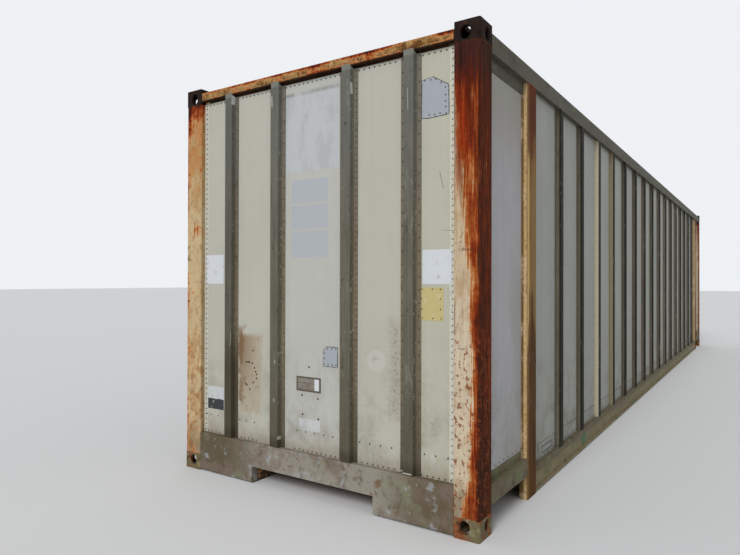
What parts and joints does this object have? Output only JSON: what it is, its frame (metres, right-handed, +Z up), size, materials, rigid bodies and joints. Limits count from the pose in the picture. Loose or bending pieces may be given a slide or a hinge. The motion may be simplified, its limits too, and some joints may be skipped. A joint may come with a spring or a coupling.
{
  "type": "shipping container",
  "caption": "High-cube freight container with riveted aluminium walls, steel corner posts and castings, a front gooseneck tunnel and closed rear double doors.",
  "frame": {"origin": "middle of the base, on the plane of the bottom castings' lower faces", "axes": "+X runs along the container from the blind front end to the rear doors, +Y to the container's left side, +Z up; the pictured faces are the front end (-X) and the right side (-Y)"},
  "size_m": [12.192, 2.438, 2.896],
  "materials": {
    "casting_steel": "dark brown, rusted",
    "frame_steel": "cream paint over heavy orange rust",
    "side_post_steel": "cream paint, rusted outer face",
    "wall_sheet": "weathered cream paint on aluminium sheet",
    "wall_post_aluminium": "dull weathered grey",
    "roof_aluminium": "dull",
    "floor_wood": "worn plywood",
    "underframe_steel": "dark, rusted",
    "sill_steel": "dirty cream paint, worn",
    "door_panel": "weathered cream paint",
    "seal_rubber": "black rubber",
    "lock_steel": "galvanised steel, rusting"
  },
  "bodies": {
    "root": {"front_right_top_casting": "casting_steel", "front_right_bottom_casting": "casting_steel", "front_right_corner_post": "frame_steel", "front_right_side_post": "side_post_steel", "front_left_top_casting": "casting_steel", "front_left_bottom_casting": "casting_steel", "front_left_corner_post": "frame_steel", "front_left_side_post": "side_post_steel", "rear_right_top_casting": "casting_steel", "rear_right_bottom_casting": "casting_steel", "rear_right_corner_post": "frame_steel", "rear_right_side_post": "side_post_steel", "rear_left_top_casting": "casting_steel", "rear_left_bottom_casting": "casting_steel", "rear_left_corner_post": "frame_steel", "rear_left_side_post": "side_post_steel", "front_top_rail": "frame_steel", "front_sill": "sill_steel", "front_panel": "wall_sheet", "front_wall_posts": "wall_post_aluminium", "right_side_panel": "wall_sheet", "left_side_panel": "wall_sheet", "right_wall_posts": "wall_post_aluminium", "left_wall_posts": "wall_post_aluminium", "right_top_rail": "frame_steel", "left_top_rail": "frame_steel", "right_bottom_rail": "sill_steel", "left_bottom_rail": "sill_steel", "roof_sheet": "roof_aluminium", "header_plates": "frame_steel", "roof_bows": "roof_aluminium", "floor_boards": "floor_wood", "crossmembers": "underframe_steel", "gooseneck_tunnel": "underframe_steel", "rear_header": "frame_steel", "rear_sill": "underframe_steel", "right_door": "door_panel", "left_door": "door_panel", "door_seals": "seal_rubber", "door_hinges": "lock_steel", "right_lock_rods": "lock_steel", "left_lock_rods": "lock_steel", "rod_guides": "lock_steel", "lock_handles": "lock_steel", "handle_catches": "lock_steel", "cam_keepers": "lock_steel"}
  },
  "joints": []
}
